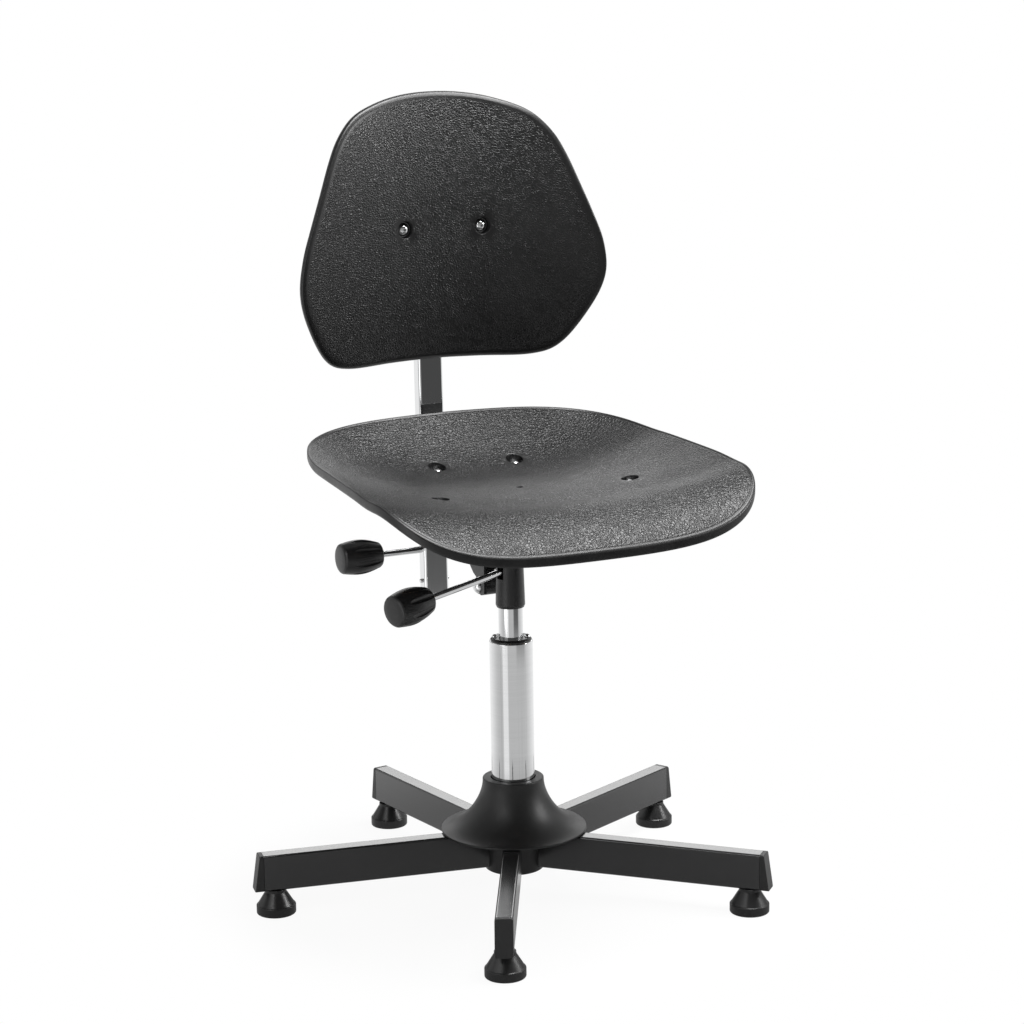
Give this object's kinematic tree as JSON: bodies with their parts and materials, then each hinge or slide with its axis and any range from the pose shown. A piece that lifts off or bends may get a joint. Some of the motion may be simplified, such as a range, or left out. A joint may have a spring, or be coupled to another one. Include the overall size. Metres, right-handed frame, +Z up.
{
  "type": "swivel work chair",
  "caption": "Swivel work chair with a dished foam seat and backrest, gas height column, tilting height-adjustable back strut, barrel-grip levers and a star base of tube legs on glides.",
  "frame": {"origin": "where the swivel axis meets the floor", "axes": "+Z up along the swivel axis, -Y towards the chair's front, +X towards the sitter's left"},
  "size_m": [0.5869, 0.581, 0.914],
  "materials": {
    "frame_black": "satin black powder coat",
    "leg_black": "glossy black powder coat",
    "cap_black": "satin black moulded plastic",
    "glide_black": "semi-gloss black moulded plastic",
    "cover_black": "fine-grained black moulded plastic",
    "column_steel": "polished steel tube with fine lengthwise draw marks",
    "tube_steel": "ground and polished",
    "ring_black": "black moulded plastic",
    "chrome": "chrome plated",
    "bright_steel": "bright steel",
    "brass": "plain brass",
    "rubber": "black rubber",
    "liner": "black bearing plastic",
    "grip_black": "satin black moulded plastic",
    "skin_black": "leather-grained skin of moulded foam",
    "board": "plain plywood"
  },
  "bodies": {
    "base": {"base_hub": "frame_black", "leg_1": "leg_black", "leg_2": "leg_black", "leg_3": "leg_black", "leg_4": "leg_black", "leg_5": "leg_black", "leg_cap_1": "cap_black", "leg_cap_2": "cap_black", "leg_cap_3": "cap_black", "leg_cap_4": "cap_black", "leg_cap_5": "cap_black", "glide_1": "glide_black", "glide_2": "glide_black", "glide_3": "glide_black", "glide_4": "glide_black", "glide_5": "glide_black", "glide_stems": "bright_steel", "base_cover": "cover_black", "column_tube": "column_steel", "guide_bush": "ring_black", "ring_screws": "chrome", "lower_race": "bright_steel", "bearing_balls": "bright_steel", "ball_cage": "brass"},
    "swivel": {"piston_rod": "bright_steel", "piston": "bright_steel", "rod_clip": "bright_steel", "upper_race": "bright_steel", "rubber_buffer": "rubber"},
    "lift": {"pressure_tube": "tube_steel", "rod_guide": "bright_steel", "release_valve": "brass", "socket": "frame_black", "seat_plate": "frame_black", "tilt_bracket": "frame_black", "pivot_bolt": "chrome", "pivot_nut": "bright_steel", "lever_pin": "bright_steel", "seat_board": "board", "seat_pad": "skin_black", "seat_sleeves": "bright_steel", "seat_screws": "chrome", "seat_nuts": "bright_steel"},
    "valve_button": {"release_button": "bright_steel"},
    "front_lever": {"front_lever_rod": "chrome", "front_grip": "grip_black"},
    "carrier": {"back_carrier": "frame_black", "strut_liner": "liner", "clamp_shoe": "brass"},
    "clamp_lever": {"clamp_lever_rod": "chrome", "clamp_grip": "grip_black"},
    "back": {"back_strut": "chrome", "stop_pin": "chrome", "back_bracket": "frame_black", "bracket_bolts": "chrome", "back_board": "board", "back_pad": "skin_black", "back_screws": "chrome", "back_nuts": "bright_steel"}
  },
  "joints": [
    {"name": "seat_turn", "type": "hinge", "parent": "base", "child": "swivel", "pos_m": [0, 0, 0], "axis": [0, 0, 1], "continuous": true},
    {"name": "seat_height", "type": "slide", "parent": "swivel", "child": "lift", "axis": [0, 0, 1], "range_m": [0, 0.125]},
    {"name": "valve_press", "type": "slide", "parent": "lift", "child": "valve_button", "axis": [0, 0, 1], "range_m": [-0.0025, 0]},
    {"name": "front_lever_lift", "type": "hinge", "parent": "lift", "child": "front_lever", "pos_m": [-0.01052, -0.00322, 0.37879], "axis": [-0.2924, 0.9563, 0], "range_deg": [0, 12], "stiffness_Nm_per_rad": 1.2, "springref_deg": -8.59},
    {"name": "back_tilt", "type": "hinge", "parent": "lift", "child": "carrier", "pos_m": [0, 0.046, 0.352], "axis": [-1, 0, 0], "range_deg": [-4, 14]},
    {"name": "clamp_turn", "type": "hinge", "parent": "carrier", "child": "clamp_lever", "pos_m": [0, 0.18, 0.402], "axis": [-1, 0, 0], "range_deg": [0, 60]},
    {"name": "back_height", "type": "slide", "parent": "carrier", "child": "back", "axis": [0, 0.0175, 0.9998], "range_m": [-0.045, 0.054]}
  ],
  "couplings": [
    {"joint": "valve_press", "follows": "front_lever_lift", "m_per_rad": -0.011}
  ]
}
